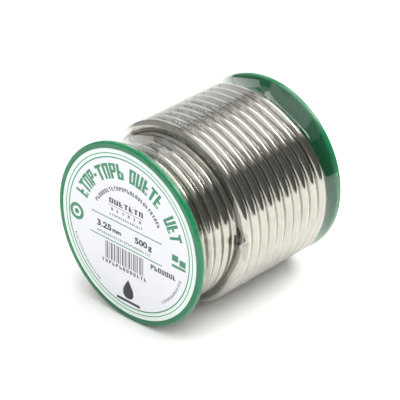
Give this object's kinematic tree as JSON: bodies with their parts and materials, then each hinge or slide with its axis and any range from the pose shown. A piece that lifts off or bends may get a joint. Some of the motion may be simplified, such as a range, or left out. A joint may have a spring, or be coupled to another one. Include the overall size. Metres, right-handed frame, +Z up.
{
  "type": "solder wire spool",
  "caption": "Plastic reel lying on its side, wound in layers with thick soft solder wire, with a round paper label on one flange and a clear film shrunk over the winding.",
  "frame": {"origin": "on the surface that both rims rest on, straight under the middle of the spool", "axes": "+Z up; Y along the spool's axis, with the labelled front flange facing -Y and the open rear flange facing +Y; +X to the side on which the wire's cut end lies"},
  "size_m": [0.054, 0.0578, 0.054],
  "materials": {
    "reel_plastic": "gloss",
    "label_paper": "matte",
    "solder": "gloss",
    "clear_film": "gloss"
  },
  "bodies": {
    "root": {"reel_front_half": "reel_plastic", "reel_rear_half": "reel_plastic", "front_label": "label_paper", "wire_start_end": "solder", "wire_lower_layers": "solder", "wire_top_layer": "solder", "wire_tail": "solder", "shrink_film": "clear_film"}
  },
  "joints": []
}
